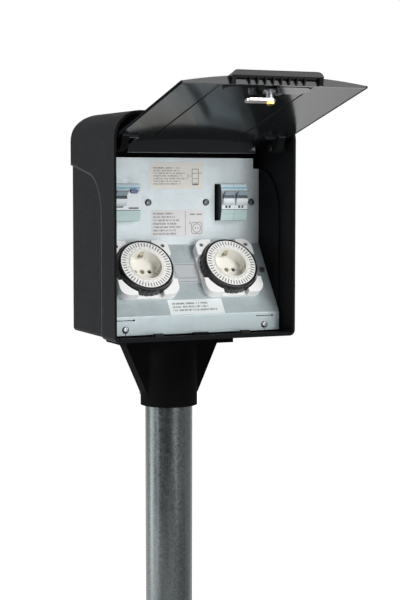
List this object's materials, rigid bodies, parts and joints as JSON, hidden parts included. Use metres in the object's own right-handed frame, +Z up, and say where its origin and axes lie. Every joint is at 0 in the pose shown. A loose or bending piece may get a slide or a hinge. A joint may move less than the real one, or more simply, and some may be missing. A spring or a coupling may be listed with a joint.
{
  "type": "garden socket post",
  "caption": "Hooded outdoor socket box with a lifting lid, timer sockets and breakers on a bent steel panel, carried by a funnel neck on a round steel post.",
  "frame": {"origin": "middle of the post's foot, at its lower end", "axes": "+Z up along the post, -Y the way the box's open front looks, +X to the viewer's right"},
  "size_m": [0.236, 0.3367, 1.2986],
  "materials": {
    "post_steel": "hot-dip galvanised",
    "neck_plastic": "fine textured",
    "hood_plastic": "fine textured",
    "shell_plastic": "fine textured",
    "lid_plastic": "semi-gloss",
    "handle_plastic": "gloss",
    "panel_sheet": "galvanised sheet",
    "dark_screw": "phosphated",
    "bright_steel": "zinc plated",
    "brass_metal": "plain",
    "soft_rubber": "matt",
    "breaker_case": "satin",
    "toggle_grey": "satin",
    "button_blue": "gloss",
    "timer_white": "satin",
    "ring_black": "gloss",
    "dial_white": "printed",
    "socket_cream": "gloss",
    "terminal_cream": "plain"
  },
  "bodies": {
    "root": {"post_tube": "post_steel", "neck": "neck_plastic", "neck_clamp_screws": "bright_steel", "neck_bolts": "bright_steel", "rear_shell": "shell_plastic", "front_hood": "hood_plastic", "shell_screws": "dark_screw", "cable_grommet": "soft_rubber", "hinge_pins": "bright_steel", "lid_buffers": "soft_rubber", "din_rail": "bright_steel", "rail_screws": "bright_steel", "panel_pillars": "bright_steel", "front_panel": "panel_sheet", "pillar_screws": "dark_screw", "flange_screws": "bright_steel", "slope_screws": "bright_steel", "rcd_body": "breaker_case", "mcb_left_body": "breaker_case", "mcb_right_body": "breaker_case", "supply_terminal": "terminal_cream", "earth_bar": "brass_metal", "terminal_screws": "bright_steel", "timer_base_left": "timer_white", "timer_base_right": "timer_white", "timer_case_left": "timer_white", "timer_case_right": "timer_white", "timer_screws": "bright_steel", "socket_insert_left": "socket_cream", "socket_insert_right": "socket_cream", "socket_screws": "bright_steel", "earth_clips_left": "brass_metal", "earth_clips_right": "brass_metal", "contact_sleeves": "brass_metal"},
    "lid": {"lid_shell": "lid_plastic", "lid_handle": "handle_plastic", "handle_screws": "dark_screw", "lock_barrel": "bright_steel", "lock_nut": "bright_steel"},
    "lock": {"lock_spindle": "bright_steel", "lock_cam": "bright_steel", "cam_screw": "brass_metal"},
    "timer_dial_left": {"dial_ring_left": "ring_black", "dial_face_left": "dial_white"},
    "timer_dial_right": {"dial_ring_right": "ring_black", "dial_face_right": "dial_white"},
    "rcd_toggle": {"rcd_lever": "toggle_grey"},
    "mcb_left_toggle": {"mcb_left_lever": "toggle_grey"},
    "mcb_right_toggle": {"mcb_right_lever": "toggle_grey"},
    "test_button": {"rcd_test_button": "button_blue"}
  },
  "joints": [
    {"name": "lid_hinge", "type": "hinge", "parent": "root", "child": "lid", "pos_m": [0, -0.091, 1.222], "axis": [1, 0, 0], "range_deg": [0, 103]},
    {"name": "lock_turn", "type": "hinge", "parent": "lid", "child": "lock", "pos_m": [0, -0.27887, 1.27234], "axis": [0, 0.2588, 0.9659], "range_deg": [0, 90]},
    {"name": "timer_left_turn", "type": "hinge", "parent": "root", "child": "timer_dial_left", "pos_m": [-0.0565, -0.05782, 1.07635], "axis": [0, -0.8197, 0.5728], "continuous": true},
    {"name": "timer_right_turn", "type": "hinge", "parent": "root", "child": "timer_dial_right", "pos_m": [0.0565, -0.05782, 1.07635], "axis": [0, -0.8197, 0.5728], "continuous": true},
    {"name": "rcd_switch", "type": "hinge", "parent": "root", "child": "rcd_toggle", "pos_m": [-0.0808, -0.037, 1.1585], "axis": [1, 0, 0], "range_deg": [0, 80]},
    {"name": "mcb_left_switch", "type": "hinge", "parent": "root", "child": "mcb_left_toggle", "pos_m": [0.0631, -0.037, 1.1585], "axis": [1, 0, 0], "range_deg": [0, 80]},
    {"name": "mcb_right_switch", "type": "hinge", "parent": "root", "child": "mcb_right_toggle", "pos_m": [0.0809, -0.037, 1.1585], "axis": [1, 0, 0], "range_deg": [0, 80]},
    {"name": "test_press", "type": "slide", "parent": "root", "child": "test_button", "axis": [0, 1, 0], "range_m": [0, 0.0015], "stiffness_N_per_m": 400}
  ]
}
